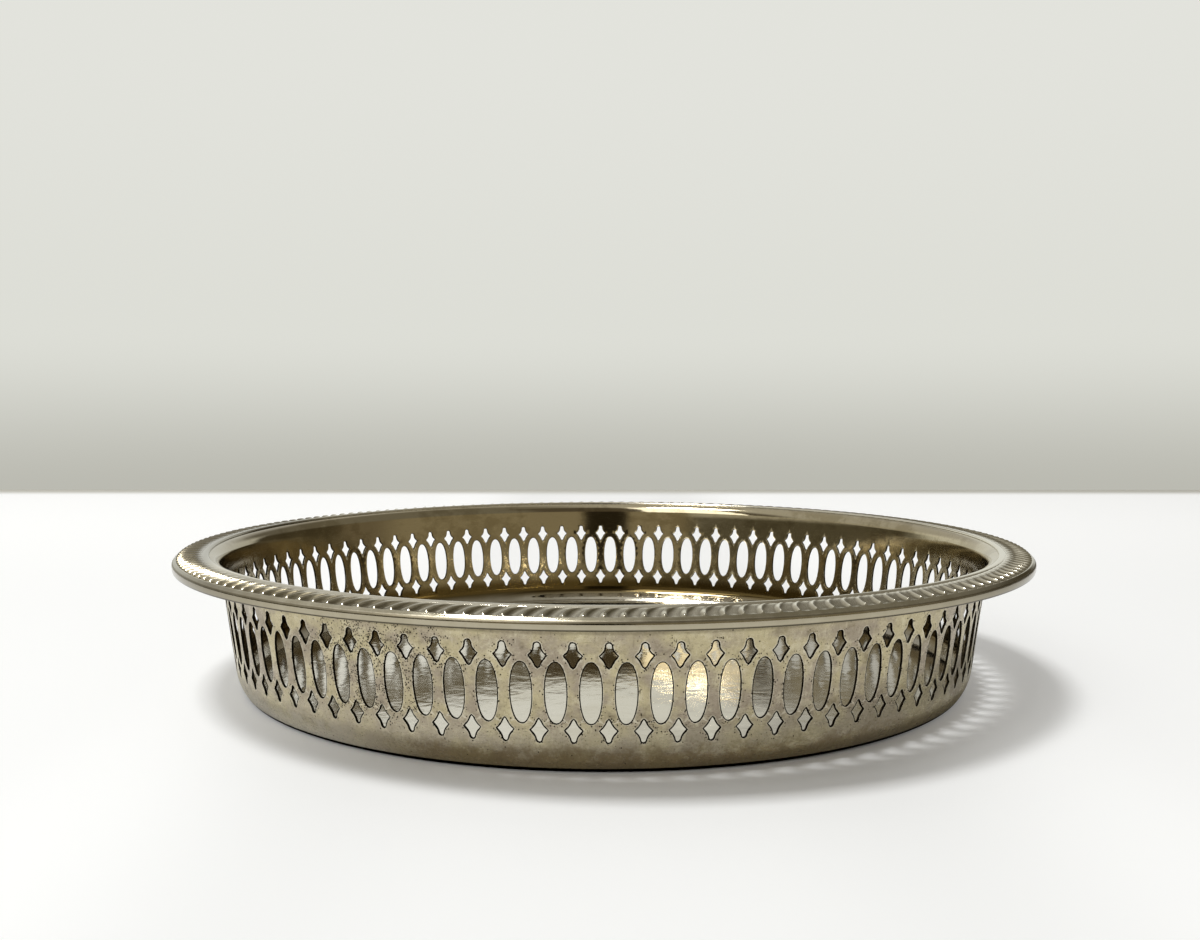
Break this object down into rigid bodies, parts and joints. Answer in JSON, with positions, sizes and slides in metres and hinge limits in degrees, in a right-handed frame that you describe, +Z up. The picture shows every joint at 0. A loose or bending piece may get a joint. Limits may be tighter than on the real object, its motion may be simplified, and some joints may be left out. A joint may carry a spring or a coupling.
{
  "type": "gallery tray",
  "caption": "Round serving tray with a pierced gallery wall of upright ovals and lozenges, a flared flange and a rope border, in worn silver plate.",
  "frame": {"origin": "centre of the underside, on the surface that the tray stands on", "axes": "+Z up along the tray's round axis; -Y towards the side that the picture is taken from, +X to its right"},
  "size_m": [0.3048, 0.3047, 0.0476],
  "materials": {
    "pan_plate": "worn silver plate, softly polished, tarnished and pitted in places",
    "border_plate": "worn silver plate with dark tarnish in the grooves of the lobes",
    "soft_solder": "dull grey soft solder, hidden in the border's hollow back"
  },
  "bodies": {
    "root": {"pierced_pan": "pan_plate", "rope_border": "border_plate", "solder_wedge": "soft_solder"}
  },
  "joints": []
}
